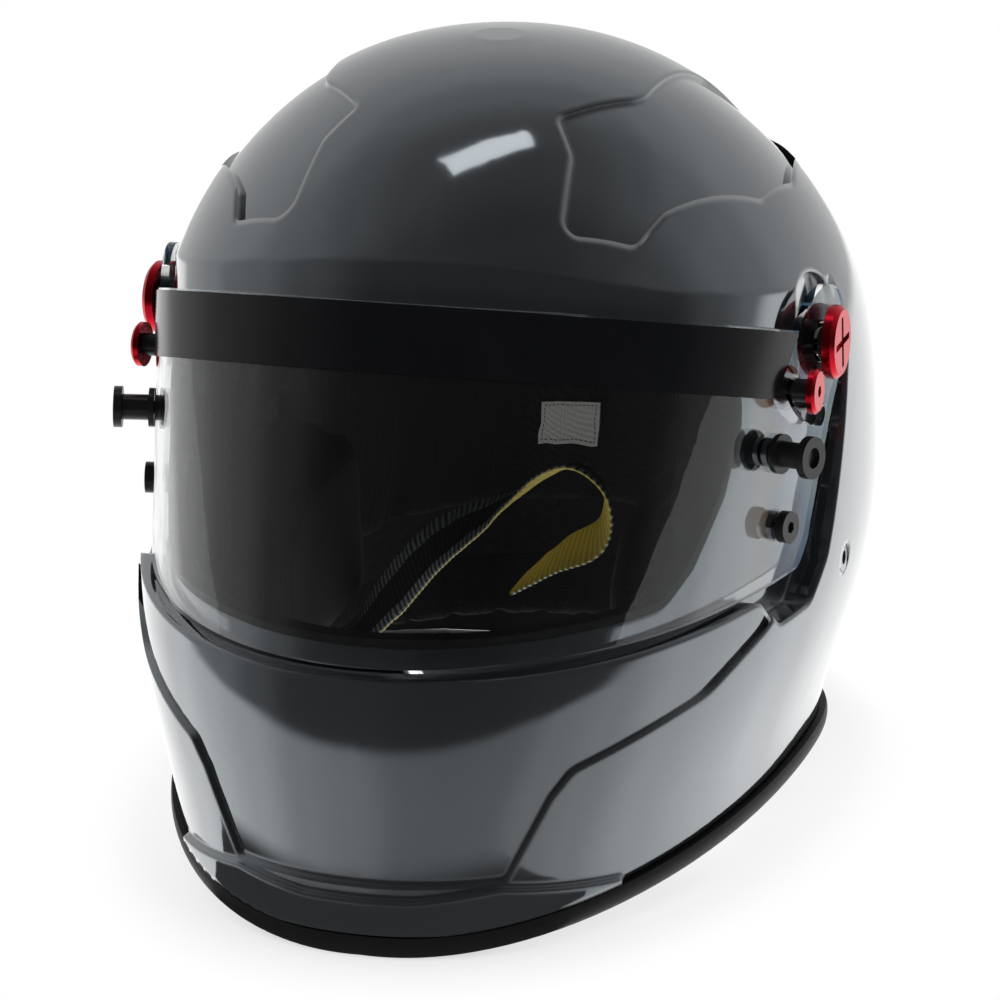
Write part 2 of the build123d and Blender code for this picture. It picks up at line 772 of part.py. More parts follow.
def hanger_plate(side):
    top_x = anchor_flange_x - hanger_thickness / 2
    top_z = anchor_z + anchor_flange_radius + hanger_top_margin
    path = Polyline((hanger_x, hanger_foot_z), (hanger_x, hanger_foot_z + hanger_half_width),
                    (top_x, anchor_z - anchor_flange_radius), (top_x, top_z))
    plate = extrude(Plane.XZ * trace(path, hanger_thickness), hanger_half_width, both=True)
    plate = fillet(plate.edges().filter_by(Axis.X).group_by(Axis.Z)[-1], hanger_corner_radius)
    plate = Pos(0, anchor_y, 0) * plate
    plate -= rod(1, anchor_y, anchor_z, anchor_radius + journal_clearance, 0, side_limit)
    slot_z = hanger_foot_z + hanger_bar + hanger_slot_height / 2
    slot_width = 2 * (strap_half_width + strap_slot_play)
    plate -= Pos(hanger_x, anchor_y, slot_z) * Box(4 * hanger_thickness, slot_width, hanger_slot_height)
    return plate if side > 0 else mirrored(plate)


# Impact liner: a thick foam shell inside the shell, open in front, with room for the hardware
liner_thickness = 26.0
liner_foot_z_share = 0.1606
liner_foot_z = liner_foot_z_share * shell_height
liner_mouth_shares = [(-0.359, 0.478), (-0.272, 0.580), (-0.255, 0.657)]
liner_mouth_radius = 12.0
room_margin = 1.0


def hardware_room(side):
    """Hollows in the liner's outer face for the nuts and the hanger plate."""
    nut_x = pivot_foot_x - room_margin
    room = rod(side, pivot_y, pivot_z, nut_flange_radius + room_margin, nut_x, side_limit)
    nut_x = stop_foot_x - nut_flange_thickness - room_margin
    room += rod(side, stop_y, stop_z, stop_nut_radius + room_margin, nut_x, side_limit)
    low_x = hanger_x - hanger_thickness / 2 - room_margin
    top_z = anchor_z + anchor_flange_radius + hanger_top_margin + room_margin
    reach = side_limit - low_x
    block = Box(reach, 2 * (hanger_half_width + room_margin), top_z)
    return room + Pos(side * (low_x + reach / 2), anchor_y, top_z / 2) * block


def impact_liner():
    depth = shell_wall + layer_gap + liner_thickness
    mouth = side_points(liner_mouth_shares)
    top_z = mouth[-1][1] + band_slope * (front_limit + mouth[-1][0])
    outline = [(-front_limit, -overrun), (mouth[0][0], -overrun)] + mouth + [(-front_limit, top_z)]
    radii = [0.0, 0.0, liner_mouth_radius, liner_mouth_radius, liner_mouth_radius / 2, 0.0]
    liner = liner_form - head_form(depth) - side_prism(outline, radii)
    liner -= Pos(0, 0, liner_foot_z - overrun) * Box(2 * side_limit, 2 * front_limit, 2 * overrun)
    return liner - hardware_room(1) - hardware_room(-1)


# Foam inside the chin bar
chin_liner_thickness = 18.0
chin_liner_foot_z_share = 0.0985
chin_liner_foot_z = chin_liner_foot_z_share * shell_height
chin_liner_top_z_share = 0.3431
chin_liner_top_z = chin_liner_top_z_share * shell_height
chin_liner_back_y_share = -0.4406
chin_liner_back_y = chin_liner_back_y_share * half_length


def chin_liner():
    liner = liner_form - head_form(shell_wall + layer_gap + chin_liner_thickness)
    height = chin_liner_top_z - chin_liner_foot_z
    place = Pos(0, chin_liner_back_y - front_limit / 2, chin_liner_foot_z + height / 2)
    return liner & place * Box(2 * side_limit, front_limit, height)


# Comfort pad: cloth-covered foam over the crown and the back of the head
pad_thickness = 7.5
pad_depth = shell_wall + 2 * layer_gap + liner_thickness
pad_front_y_share = -0.2319
pad_front_y = pad_front_y_share * half_length
pad_ear_y_share = 0.1739
pad_ear_y = pad_ear_y_share * half_length
pad_brow_z_share = 0.6788
pad_brow_z = pad_brow_z_share * shell_height
pad_ear_z_share = 0.4818
pad_ear_z = pad_ear_z_share * shell_height
pad_foot_z_share = 0.2263
pad_foot_z = pad_foot_z_share * shell_height
pad_radius = 8.0
lining_form = head_form(pad_depth)


def crown_pad():
    outline = [(pad_ear_y, pad_foot_z), (front_limit, pad_foot_z), (front_limit, shell_height),
               (-front_limit, shell_height), (-front_limit, pad_brow_z + band_slope * (front_limit + pad_front_y)),
               (pad_front_y, pad_brow_z), (pad_front_y, pad_ear_z), (pad_ear_y, pad_ear_z)]
    radii = [pad_radius, 0.0, 0.0, 0.0, 0.0, pad_radius, pad_radius, pad_radius]
    return (lining_form - head_form(pad_depth + pad_thickness)) & side_prism(outline, radii)


# Cheek pads: thick cushions beside the chin strap, drawn in towards the face
cheek_front_y_share = -0.4174
cheek_front_y = cheek_front_y_share * half_length
cheek_back_y_share = 0.1275
cheek_back_y = cheek_back_y_share * half_length
cheek_foot_z_share = 0.1898
cheek_foot_z = cheek_foot_z_share * shell_height
cheek_top_z_share = 0.4526
cheek_top_z = cheek_top_z_share * shell_height
cheek_cut = 23.0
cheek_radius = 14.0
cheek_outer_x_share = 0.8112
cheek_outer_x = cheek_outer_x_share * half_width
cheek_inner_x_share = 0.4524
cheek_inner_x = cheek_inner_x_share * half_width
cheek_level_shares = [(0.0, 0.12), (0.25, 0.0), (0.65, 0.0), (0.87, 0.07), (1.0, 0.24)]


def cheek_pad(side):
    outline = [(cheek_front_y, cheek_foot_z), (cheek_back_y, cheek_foot_z), (cheek_back_y, cheek_top_z),
               (cheek_front_y + cheek_cut, cheek_top_z), (cheek_front_y, cheek_top_z - cheek_cut)]
    face = make_face(FilletPolyline(*outline, radius=cheek_radius, close=True))
    thickness = cheek_outer_x - cheek_inner_x
    sections = []
    for inward, drawn in cheek_level_shares:
        section = offset(face, -drawn * thickness) if drawn > 0 else face
        sections.append(Plane.YZ.offset(cheek_outer_x - inward * thickness) * section)
    pad = loft(sections) & lining_form
    return pad if side > 0 else mirrored(pad)


# Neck roll: a soft horseshoe round the back of the opening
roll_thickness = 20.0
roll_front_y_share = 0.1971
roll_front_y = roll_front_y_share * half_length
roll_foot_z_share = 0.0803
roll_foot_z = roll_foot_z_share * shell_height


def neck_roll():
    roll = liner_form - head_form(shell_wall + layer_gap + roll_thickness)
    roll -= below_rim(trim_half_height)
    height = liner_foot_z - 2 * layer_gap - roll_foot_z
    place = Pos(0, roll_front_y + front_limit / 2, roll_foot_z + height / 2)
    return roll & place * Box(2 * side_limit, front_limit, height)


# Blank sewn label inside the back of the comfort pad
label_lift = 0.1
label_thickness = 0.6
label_x = -12.5
label_z_share = 0.3266
label_z = label_z_share * shell_height
label_width = 23.0
label_height = 15.0


def sewn_label():
    depth = pad_depth + pad_thickness + label_lift
    skin = head_form(depth) - head_form(depth + label_thickness)
    return skin & Pos(label_x, front_limit / 2, label_z) * Box(label_width, front_limit, label_height)


# Chin strap: a long webbing on the wearer's right, a short one with two rings on the left
long_strap_shares = [(-0.83, 0.141), (-0.585, 0.163), (-0.434, 0.226), (-0.245, 0.307), (0.009, 0.372),
                     (0.179, 0.423), (0.292, 0.431), (0.377, 0.394), (0.349, 0.339), (0.208, 0.307),
                     (0.057, 0.263)]
ring_pitch = 4.6
ring_x_share = 0.5616
ring_x = ring_x_share * half_width
ring_wire_radius = 1.6
ring_half_width = 16.5
ring_foot_half_width = 9.0
ring_drop = 20.0


def webbing_loop(x, z, half_across, half_up):
    """A closed turn of webbing round a bar of this size, drawn in the front view."""
    inner = RectangleRounded(2 * (half_across + layer_gap), 2 * (half_up + layer_gap), layer_gap)
    reach = strap_thickness + layer_gap
    outer = RectangleRounded(2 * (half_across + reach), 2 * (half_up + reach), reach)
    return Pos(x, z) * (outer - inner)


def webbing(face):
    return Pos(0, anchor_y, 0) * extrude(Plane.XZ * face, strap_half_width, both=True)


def hanger_loop(side):
    return webbing_loop(side * hanger_x, hanger_foot_z + hanger_bar / 2, hanger_thickness / 2, hanger_bar / 2)


def long_strap():
    start = (-hanger_x + hanger_thickness / 2 + layer_gap + strap_thickness / 2, strap_z)
    points = [(across * hanger_x, up * shell_height) for across, up in long_strap_shares]
    return webbing(hanger_loop(-1) + trace(Spline(start, *points), strap_thickness))


def short_strap():
    half_across = ring_pitch / 2 + ring_wire_radius
    loop = webbing_loop(ring_x, strap_z, half_across, ring_wire_radius)
    start = (hanger_x - hanger_thickness / 2 - layer_gap - strap_thickness / 2, strap_z)
    end = (ring_x + half_across + layer_gap + strap_thickness / 2, strap_z)
    return webbing(hanger_loop(1) + trace(Line(start, end), strap_thickness) + loop)


def d_ring(shift):
    """One ring: a straight side through the strap's loop and a bow that hangs below it."""
    x = ring_x + shift * ring_pitch / 2
    corners = [(x, anchor_y - ring_half_width, strap_z), (x, anchor_y + ring_half_width, strap_z),
               (x, anchor_y + ring_foot_half_width, strap_z - ring_drop),
               (x, anchor_y - ring_foot_half_width, strap_z - ring_drop)]
    path = FilletPolyline(*corners, radius=2 * ring_wire_radius, close=True)
    section = Plane(origin=path @ 0, z_dir=path % 0) * Circle(ring_wire_radius)
    return sweep(section, path=path, transition=Transition.ROUND)


save("outer_shell", outer_shell())
save("base_trim", base_trim())
save("eyeport_gasket", eyeport_gasket())
save("face_shield", face_shield())
save("sun_strip", sun_strip())
save("impact_liner", impact_liner())
save("chin_liner", chin_liner())
save("crown_pad", crown_pad())
save("neck_roll", neck_roll())
save("sewn_label", sewn_label())
for word, side in (("left", 1), ("right", -1)):
    save("pivot_nut_" + word, pivot_nut(side))
    save("pivot_bush_" + word, pivot_bush(side))
    save("pivot_screw_" + word, pivot_screw(side))
    save("stop_sleeve_" + word, stop_sleeve(side))
    save("stop_screw_" + word, stop_screw(side))
    save("stop_nut_" + word, stop_nut(side))
    save("tear_off_post_" + word, tear_off_post(side))
    save("post_nut_" + word, flat_nut(side, post_y, post_z))
    save("closing_stud_" + word, closing_stud(side))
    save("stud_nut_" + word, flat_nut(side, stud_y, stud_z))
    save("restraint_anchor_" + word, restraint_anchor(side))
    save("anchor_nut_" + word, anchor_nut(side))
    save("hanger_plate_" + word, hanger_plate(side))
    save("cheek_pad_" + word, cheek_pad(side))
save("chin_strap_long", long_strap())
save("chin_strap_short", short_strap())
save("d_ring_inner", d_ring(-1))
save("d_ring_outer", d_ring(1))
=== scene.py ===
import bpy
import json
import numpy as np
from math import cos, pi, radians, sin
from mathutils import Matrix, Vector


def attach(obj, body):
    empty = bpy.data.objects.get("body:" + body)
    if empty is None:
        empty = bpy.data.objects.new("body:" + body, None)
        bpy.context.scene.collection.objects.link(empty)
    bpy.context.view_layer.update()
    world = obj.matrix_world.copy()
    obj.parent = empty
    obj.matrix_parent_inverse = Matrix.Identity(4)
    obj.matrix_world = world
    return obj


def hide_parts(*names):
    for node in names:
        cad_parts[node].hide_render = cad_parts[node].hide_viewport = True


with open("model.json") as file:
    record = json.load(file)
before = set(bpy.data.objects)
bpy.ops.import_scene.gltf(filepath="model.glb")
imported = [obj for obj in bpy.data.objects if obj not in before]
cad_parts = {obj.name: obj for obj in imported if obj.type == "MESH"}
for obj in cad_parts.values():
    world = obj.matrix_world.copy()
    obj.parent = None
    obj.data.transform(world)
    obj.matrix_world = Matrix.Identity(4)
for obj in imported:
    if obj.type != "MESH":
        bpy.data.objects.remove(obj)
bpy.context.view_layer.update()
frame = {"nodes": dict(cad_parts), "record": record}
nodes = frame["nodes"]
scene = bpy.context.scene
scene.view_settings.view_transform = "Standard"


# Camera
# The photo's viewpoint, fitted to the outline of the shell, the shield and the base: a long lens,
# a little above the helmet and to its front left, held slightly askew.
camera_azimuth = radians(18.4)
camera_elevation = radians(19.9)
camera_roll = radians(-2.0)
camera_distance = 1.9297
camera_target = Vector((0.0, 0.0006, 0.104))
camera_sensor = 36.0
camera_lens = 192.35
camera_shift = -0.0022
camera_reach = 20.0
camera_data = bpy.data.cameras.new("camera")
camera_data.sensor_width = camera_sensor
camera_data.lens = camera_lens
camera_data.shift_x = camera_shift
camera_data.clip_end = camera_reach
back = Vector((sin(camera_azimuth) * cos(camera_elevation),
               -cos(camera_azimuth) * cos(camera_elevation),
               sin(camera_elevation)))
right = Vector((cos(camera_azimuth), sin(camera_azimuth), 0.0))
up = back.cross(right)
turned_right = right * cos(camera_roll) + up * sin(camera_roll)
turned_up = up * cos(camera_roll) - right * sin(camera_roll)
camera = bpy.data.objects.new("camera", camera_data)
scene.collection.objects.link(camera)
place = camera_target + back * camera_distance
camera.matrix_world = Matrix(((turned_right.x, turned_up.x, back.x, place.x),
                              (turned_right.y, turned_up.y, back.y, place.y),
                              (turned_right.z, turned_up.z, back.z, place.z),
                              (0.0, 0.0, 0.0, 1.0)))
scene.camera = camera


# Studio
# White paper under and behind the helmet, dimmer walls and ceiling, and darkness in front. Each
# tone is a place from 0 to 1 along the direction, and a brightness. What the camera sees directly,
# or through the shield, is plain white.
room_strength = 1.45
paper_tones = [(0.0, 0.23), (0.05, 0.26), (0.125, 0.41), (0.25, 0.52), (0.45, 0.83), (0.65, 0.97),
               (0.75, 1.0), (0.84, 0.83), (1.0, 0.76)]
wall_tones = [(0.0, 0.014), (0.10, 0.03), (0.25, 0.04), (0.40, 0.14), (0.55, 0.28), (0.65, 0.32),
              (0.75, 0.42), (0.87, 0.43), (1.0, 0.41)]
ceiling_tones = [(0.75, 1.0), (0.85, 0.85), (0.92, 0.60), (0.97, 0.40), (1.0, 0.30)]
horizon_low = -0.225
horizon_high = -0.175
first_bounce = 0.5
new_stop = 0.5
world = bpy.data.worlds.new("studio")
scene.world = world
world.use_nodes = True
tree = world.node_tree
tree.nodes.clear()


def new_node(tree, kind, **settings):
    """A new node with its settings."""
    made = tree.nodes.new(kind)
    for name, value in settings.items():
        setattr(made, name, value)
    return made


def mixed(tree, share, first, second, blend_type="MIX"):
    """A colour between two others. Each of the three is a socket or a plain value."""
    mix = new_node(tree, "ShaderNodeMix", data_type="RGBA", blend_type=blend_type)
    for socket, value in zip((mix.inputs[0], mix.inputs[6], mix.inputs[7]), (share, first, second)):
        if isinstance(value, bpy.types.NodeSocket):
            tree.links.new(value, socket)
        elif isinstance(value, tuple):
            socket.default_value = (*value, 1.0)
        else:
            socket.default_value = value
    return mix.outputs[2]


output = new_node(tree, "ShaderNodeOutputWorld")
paths = new_node(tree, "ShaderNodeLightPath")
coordinates = new_node(tree, "ShaderNodeTexCoord")
turn = new_node(tree, "ShaderNodeVectorRotate", rotation_type="Z_AXIS")
turn.inputs["Angle"].default_value = -camera_azimuth
split = new_node(tree, "ShaderNodeSeparateXYZ")
tree.links.new(coordinates.outputs["Generated"], turn.inputs["Vector"])
tree.links.new(turn.outputs["Vector"], split.inputs["Vector"])


def tone(direction, tones):
    """Brightness as a smooth function of one component of the direction."""
    ranged = new_node(tree, "ShaderNodeMapRange")
    ranged.inputs["From Min"].default_value = -1.0
    ramp = new_node(tree, "ShaderNodeValToRGB")
    ramp.color_ramp.interpolation = "EASE"
    while len(ramp.color_ramp.elements) < len(tones):
        ramp.color_ramp.elements.new(new_stop)
    for element, (position, value) in zip(ramp.color_ramp.elements, tones):
        element.position = position
        element.color = (value, value, value, 1.0)
    tree.links.new(split.outputs[direction], ranged.inputs["Value"])
    tree.links.new(ranged.outputs["Result"], ramp.inputs["Fac"])
    return ramp.outputs["Color"]


above = mixed(tree, 1.0, tone("Y", wall_tones), tone("Z", ceiling_tones), "MULTIPLY")
horizon = new_node(tree, "ShaderNodeMapRange", interpolation_type="SMOOTHSTEP")
horizon.inputs["From Min"].default_value = horizon_low
horizon.inputs["From Max"].default_value = horizon_high
tree.links.new(split.outputs["Z"], horizon.inputs["Value"])
lit = new_node(tree, "ShaderNodeBackground")
lit.inputs["Strength"].default_value = room_strength
tree.links.new(mixed(tree, horizon.outputs["Result"], tone("Y", paper_tones), above), lit.inputs["Color"])
white = new_node(tree, "ShaderNodeBackground")
white.inputs["Color"].default_value = (1.0, 1.0, 1.0, 1.0)
bounces = new_node(tree, "ShaderNodeMath", operation="ADD")
unbounced = new_node(tree, "ShaderNodeMath", operation="LESS_THAN")
unbounced.inputs[1].default_value = first_bounce
direct = new_node(tree, "ShaderNodeMath", operation="MAXIMUM")
seen = new_node(tree, "ShaderNodeMath", operation="MULTIPLY")
shown = new_node(tree, "ShaderNodeMixShader")
tree.links.new(paths.outputs["Diffuse Depth"], bounces.inputs[0])
tree.links.new(paths.outputs["Glossy Depth"], bounces.inputs[1])
tree.links.new(bounces.outputs["Value"], unbounced.inputs[0])
tree.links.new(paths.outputs["Is Camera Ray"], direct.inputs[0])
tree.links.new(paths.outputs["Is Transmission Ray"], direct.inputs[1])
tree.links.new(direct.outputs["Value"], seen.inputs[0])
tree.links.new(unbounced.outputs["Value"], seen.inputs[1])
tree.links.new(seen.outputs["Value"], shown.inputs["Fac"])
tree.links.new(lit.outputs["Background"], shown.inputs[1])
tree.links.new(white.outputs["Background"], shown.inputs[2])
tree.links.new(shown.outputs["Shader"], output.inputs["Surface"])


# Lamps
# A small lamp overhead, whose mirror image is the bright patch on the crown, and a large soft one
# beside the camera that no mirror surface shows.
top_place = (-0.14, 0.15, 1.43)
top_target = (0.018, -0.054, 0.25)
top_width = 0.42
top_height = 0.14
top_watts = 0.5
front_place = (0.5, -1.6, 1.6)
front_target = (0.0, 0.0, 0.12)
front_side = 1.2
front_watts = 6.0


def softbox(name, place, target, width, height, watts):
    """A rectangular lamp at a place, facing a target."""
    data = bpy.data.lights.new(name, "AREA")
    data.shape = "RECTANGLE"
    data.size = width
    data.size_y = height
    data.energy = watts
    lamp = bpy.data.objects.new(name, data)
    lamp.location = place
    lamp.rotation_euler = (Vector(target) - Vector(place)).to_track_quat("-Z", "Y").to_euler()
    scene.collection.objects.link(lamp)
    return lamp


softbox("lamp_top", top_place, top_target, top_width, top_height, top_watts)
lamp_front = softbox("lamp_front", front_place, front_target, front_side, front_side, front_watts)
lamp_front.visible_glossy = False
lamp_front.visible_transmission = False


# Floor
# White paper under the helmet, with painted shade: its glowing colour is made a little darker
# where the helmet hides it from the light, from an occlusion mask and not a cast shadow. It shows
# its own white, so the lamps can stay low.
floor_half = 2.0
shade_reach = 0.035
shade_tone = 0.62
shade_samples = 8


def flat_sheet(name, left, front, right, back, material):
    """A level sheet at floor height, between its left, front, right and back edges."""
    mesh = bpy.data.meshes.new(name)
    mesh.from_pydata([(left, front, 0.0), (right, front, 0.0), (right, back, 0.0), (left, back, 0.0)],
                     [], [(0, 1, 2, 3)])
    mesh.materials.append(material)
    sheet = bpy.data.objects.new(name, mesh)
    scene.collection.objects.link(sheet)
    return sheet


floor_paper = bpy.data.materials.new("floor_paper")
floor_paper.use_nodes = True
tree = floor_paper.node_tree
tree.nodes.clear()
output = new_node(tree, "ShaderNodeOutputMaterial")
# Painted shade: the occlusion mask darkens the paper's glowing colour near the helmet, down to
# shade_tone.
hidden = new_node(tree, "ShaderNodeAmbientOcclusion", samples=shade_samples)
hidden.inputs["Distance"].default_value = shade_reach
paper_with_painted_shade = new_node(tree, "ShaderNodeMapRange")
paper_with_painted_shade.inputs["To Min"].default_value = shade_tone
bright = new_node(tree, "ShaderNodeEmission")
tree.links.new(hidden.outputs["AO"], paper_with_painted_shade.inputs["Value"])
tree.links.new(paper_with_painted_shade.outputs["Result"], bright.inputs["Color"])
tree.links.new(bright.outputs["Emission"], output.inputs["Surface"])
floor = flat_sheet("floor", -floor_half, -floor_half, floor_half, floor_half, floor_paper)
floor.visible_glossy = False


# Shade card
# Painted shade for reflections: a black card that stands for the shaded paper right in front of
# the helmet and shows in reflections only. Its outer edge fades out along an ellipse round the helmet.
card_half_width = 0.16
card_front = -0.25
card_left = -0.165
card_right = 0.100
card_back = -0.14
card_fade_start = 0.94
card_fade_end = 1.08
# Painted shade: the card's near-black colour.
painted_shade_color = (0.05, 0.05, 0.05)
card_cloth = bpy.data.materials.new("shade_card")
card_cloth.use_nodes = True
tree = card_cloth.node_tree
tree.nodes.clear()
output = new_node(tree, "ShaderNodeOutputMaterial")
place = new_node(tree, "ShaderNodeTexCoord")
shares = new_node(tree, "ShaderNodeMapping")
shares.inputs["Scale"].default_value = (1.0 / card_half_width, 1.0 / card_front, 1.0)
reach = new_node(tree, "ShaderNodeVectorMath", operation="LENGTH")
fading = new_node(tree, "ShaderNodeMapRange", interpolation_type="SMOOTHSTEP")
fading.inputs["From Min"].default_value = card_fade_start
fading.inputs["From Max"].default_value = card_fade_end
clear = new_node(tree, "ShaderNodeBsdfTransparent")
dark = new_node(tree, "ShaderNodeBsdfDiffuse")
dark.inputs["Color"].default_value = (*painted_shade_color, 1.0)
blend = new_node(tree, "ShaderNodeMixShader")
tree.links.new(place.outputs["Object"], shares.inputs["Vector"])
tree.links.new(shares.outputs["Vector"], reach.inputs[0])
tree.links.new(reach.outputs["Value"], fading.inputs["Value"])
tree.links.new(fading.outputs["Result"], blend.inputs["Fac"])
tree.links.new(dark.outputs["BSDF"], blend.inputs[1])
tree.links.new(clear.outputs["BSDF"], blend.inputs[2])
tree.links.new(blend.outputs["Shader"], output.inputs["Surface"])
card = flat_sheet("shade_card", card_left, card_front * card_fade_end, card_right, card_back, card_cloth)
card.visible_camera = False
card.visible_diffuse = False
card.visible_transmission = False
card.visible_shadow = False


# Outer shell
# A composite shell: a mirror-like clear coat over steel-grey metallic paint outside, bare black
# composite inside. Its moulded edges are soft, which the bevel gives the paint.
flake_scale = 1400.0
moulded_edge = 0.003
edge_samples = 8
paint_color = (0.14, 0.158, 0.170)
paint_flake = (0.16, 0.180, 0.195)
paint_smooth = 0.07
paint_rough = 0.09
paint_metallic = 0.85
coat_roughness = 0.015
composite_color = (0.012, 0.012, 0.013)
composite_weave = (0.02, 0.02, 0.021)
composite_roughness = 0.6
weave_scale = flake_scale / 3
shell_centre = (0.0, 0.01, 0.12)
inner_facing = -0.72


def new_material(name):
    """An empty node material: its tree and its shader."""
    material = bpy.data.materials.new(name)
    material.use_nodes = True
    return material, material.node_tree, material.node_tree.nodes["Principled BSDF"]


def grain(tree, scale, detail=2.0):
    """A noise in the object's own coordinates."""
    place = new_node(tree, "ShaderNodeTexCoord")
    noise = new_node(tree, "ShaderNodeTexNoise")
    noise.inputs["Scale"].default_value = scale
    noise.inputs["Detail"].default_value = detail
    tree.links.new(place.outputs["Object"], noise.inputs["Vector"])
    return noise.outputs["Fac"]


def spread(tree, value, low, high):
    """The value from 0 to 1 spread between two numbers."""
    ranged = new_node(tree, "ShaderNodeMapRange")
    ranged.inputs["To Min"].default_value = low
    ranged.inputs["To Max"].default_value = high
    tree.links.new(value, ranged.inputs["Value"])
    return ranged.outputs["Result"]


def dress(material, slot_name):
    """Gives a material to every CAD node of one of the record's slots."""
    for row in frame["record"]["subparts"]:
        if row["material_slot"] == slot_name:
            for slot in nodes[row["node"]].material_slots:
                slot.link = "OBJECT"
                slot.material = material


shell_paint, tree, shader = new_material("shell_paint")
fleck = grain(tree, flake_scale)
edge = new_node(tree, "ShaderNodeBevel", samples=edge_samples)
edge.inputs["Radius"].default_value = moulded_edge
tree.links.new(edge.outputs["Normal"], shader.inputs["Normal"])
tree.links.new(edge.outputs["Normal"], shader.inputs["Coat Normal"])
tree.links.new(mixed(tree, fleck, paint_color, paint_flake), shader.inputs["Base Color"])
tree.links.new(spread(tree, fleck, paint_smooth, paint_rough), shader.inputs["Roughness"])
shader.inputs["Metallic"].default_value = paint_metallic
shader.inputs["Coat Weight"].default_value = 1.0
shader.inputs["Coat Roughness"].default_value = coat_roughness
inside = new_node(tree, "ShaderNodeBsdfPrincipled")
inside.inputs["Roughness"].default_value = composite_roughness
weave = grain(tree, weave_scale)
tree.links.new(mixed(tree, weave, composite_color, composite_weave), inside.inputs["Base Color"])
place = new_node(tree, "ShaderNodeTexCoord")
centre = new_node(tree, "ShaderNodeVectorMath", operation="SUBTRACT")
centre.inputs[1].default_value = shell_centre
radial = new_node(tree, "ShaderNodeVectorMath", operation="NORMALIZE")
facing = new_node(tree, "ShaderNodeVectorMath", operation="DOT_PRODUCT")
outward = new_node(tree, "ShaderNodeMath", operation="GREATER_THAN")
outward.inputs[1].default_value = inner_facing
both = new_node(tree, "ShaderNodeMixShader")
tree.links.new(place.outputs["Object"], centre.inputs[0])
tree.links.new(centre.outputs["Vector"], radial.inputs[0])
tree.links.new(radial.outputs["Vector"], facing.inputs[0])
tree.links.new(place.outputs["Normal"], facing.inputs[1])
tree.links.new(facing.outputs["Value"], outward.inputs[0])
tree.links.new(outward.outputs["Value"], both.inputs["Fac"])
tree.links.new(inside.outputs["BSDF"], both.inputs[1])
tree.links.new(shader.outputs["BSDF"], both.inputs[2])
tree.links.new(both.outputs["Shader"], tree.nodes["Material Output"].inputs["Surface"])
dress(shell_paint, "shell_paint")


# Base trim and eyeport seal
# Extruded black rubber, satin, with a fine moulded grain. The trim is pressed over the shell's
# lower rim and the seal is glued round the eyeport.
rubber_color = (0.010, 0.010, 0.011)
rubber_other = (0.014, 0.014, 0.015)
rubber_roughness = 0.5
rubber_grain = 700.0
rubber_relief = 0.25
rubber_depth = 0.0002
rubber_specular = 0.18
duller = 1.15
glossier = 0.85


def relief(tree, shader, height, strength, depth):
    """Fine relief on the surface from a height value."""
    bump = new_node(tree, "ShaderNodeBump")
    bump.inputs["Strength"].default_value = strength
    bump.inputs["Distance"].default_value = depth
    tree.links.new(height, bump.inputs["Height"])
    tree.links.new(bump.outputs["Normal"], shader.inputs["Normal"])


def rough_surface(name, color, other, roughness, scale, strength, depth, metallic=0.0, specular=0.5):
    """A surface with two close tones, uneven gloss and fine relief, all from one grain."""
    material, tree, shader = new_material(name)
    fleck = grain(tree, scale)
    tree.links.new(mixed(tree, fleck, color, other), shader.inputs["Base Color"])
    uneven = spread(tree, fleck, roughness * glossier, roughness * duller)
    tree.links.new(uneven, shader.inputs["Roughness"])
    shader.inputs["Metallic"].default_value = metallic
    shader.inputs["Specular IOR Level"].default_value = specular
    relief(tree, shader, fleck, strength, depth)
    return material


dress(rough_surface("black_rubber", rubber_color, rubber_other, rubber_roughness, rubber_grain,
                    rubber_relief, rubber_depth, specular=rubber_specular), "black_rubber")


# Face shield
# A clear moulded sheet that turns on the two large screws. Near the hinges the moulding leaves
# faint rainbow tints.
sheet_ior = 1.49
sheet_color = (0.97, 0.985, 0.985)
sheet_other = (0.94, 0.96, 0.98)
sheet_grain = 9.0
tint_start_x = 0.106
tint_full_x = 0.124
tint_ior = 1.33
tint_grain = 42.0
tint_detail = 1.0
thinnest_tint = 100.0
thickest_tint = 420.0
clear_sheet, tree, shader = new_material("clear_sheet")
shader.inputs["Roughness"].default_value = 0.0
shader.inputs["Transmission Weight"].default_value = 1.0
shader.inputs["IOR"].default_value = sheet_ior
shader.inputs["Thin Film IOR"].default_value = tint_ior
place = new_node(tree, "ShaderNodeTexCoord")
split = new_node(tree, "ShaderNodeSeparateXYZ")
sideways = new_node(tree, "ShaderNodeMath", operation="ABSOLUTE")
at_hinge = new_node(tree, "ShaderNodeMapRange")
at_hinge.inputs["From Min"].default_value = tint_start_x
at_hinge.inputs["From Max"].default_value = tint_full_x
tints = new_node(tree, "ShaderNodeMath", operation="MULTIPLY")
tree.links.new(mixed(tree, grain(tree, sheet_grain), sheet_color, sheet_other),
               shader.inputs["Base Color"])
tree.links.new(place.outputs["Object"], split.inputs["Vector"])
tree.links.new(split.outputs["X"], sideways.inputs[0])
tree.links.new(sideways.outputs["Value"], at_hinge.inputs["Value"])
tree.links.new(at_hinge.outputs["Result"], tints.inputs[0])
tree.links.new(spread(tree, grain(tree, tint_grain, tint_detail), thinnest_tint, thickest_tint),
               tints.inputs[1])
tree.links.new(tints.outputs["Value"], shader.inputs["Thin Film Thickness"])
dress(clear_sheet, "clear_sheet")


# Sun strip
# Gloss black film, laid on by hand along the shield's top edge, with the slight unevenness that
# this leaves.
film_color = (0.006, 0.0065, 0.008)
film_other = (0.009, 0.0095, 0.011)
film_roughness = 0.16
film_grain = 60.0
film_relief = 0.05
film_depth = 0.0002
film_specular = 0.3
dress(rough_surface("black_film", film_color, film_other, film_roughness, film_grain, film_relief,
                    film_depth, specular=film_specular), "black_film")


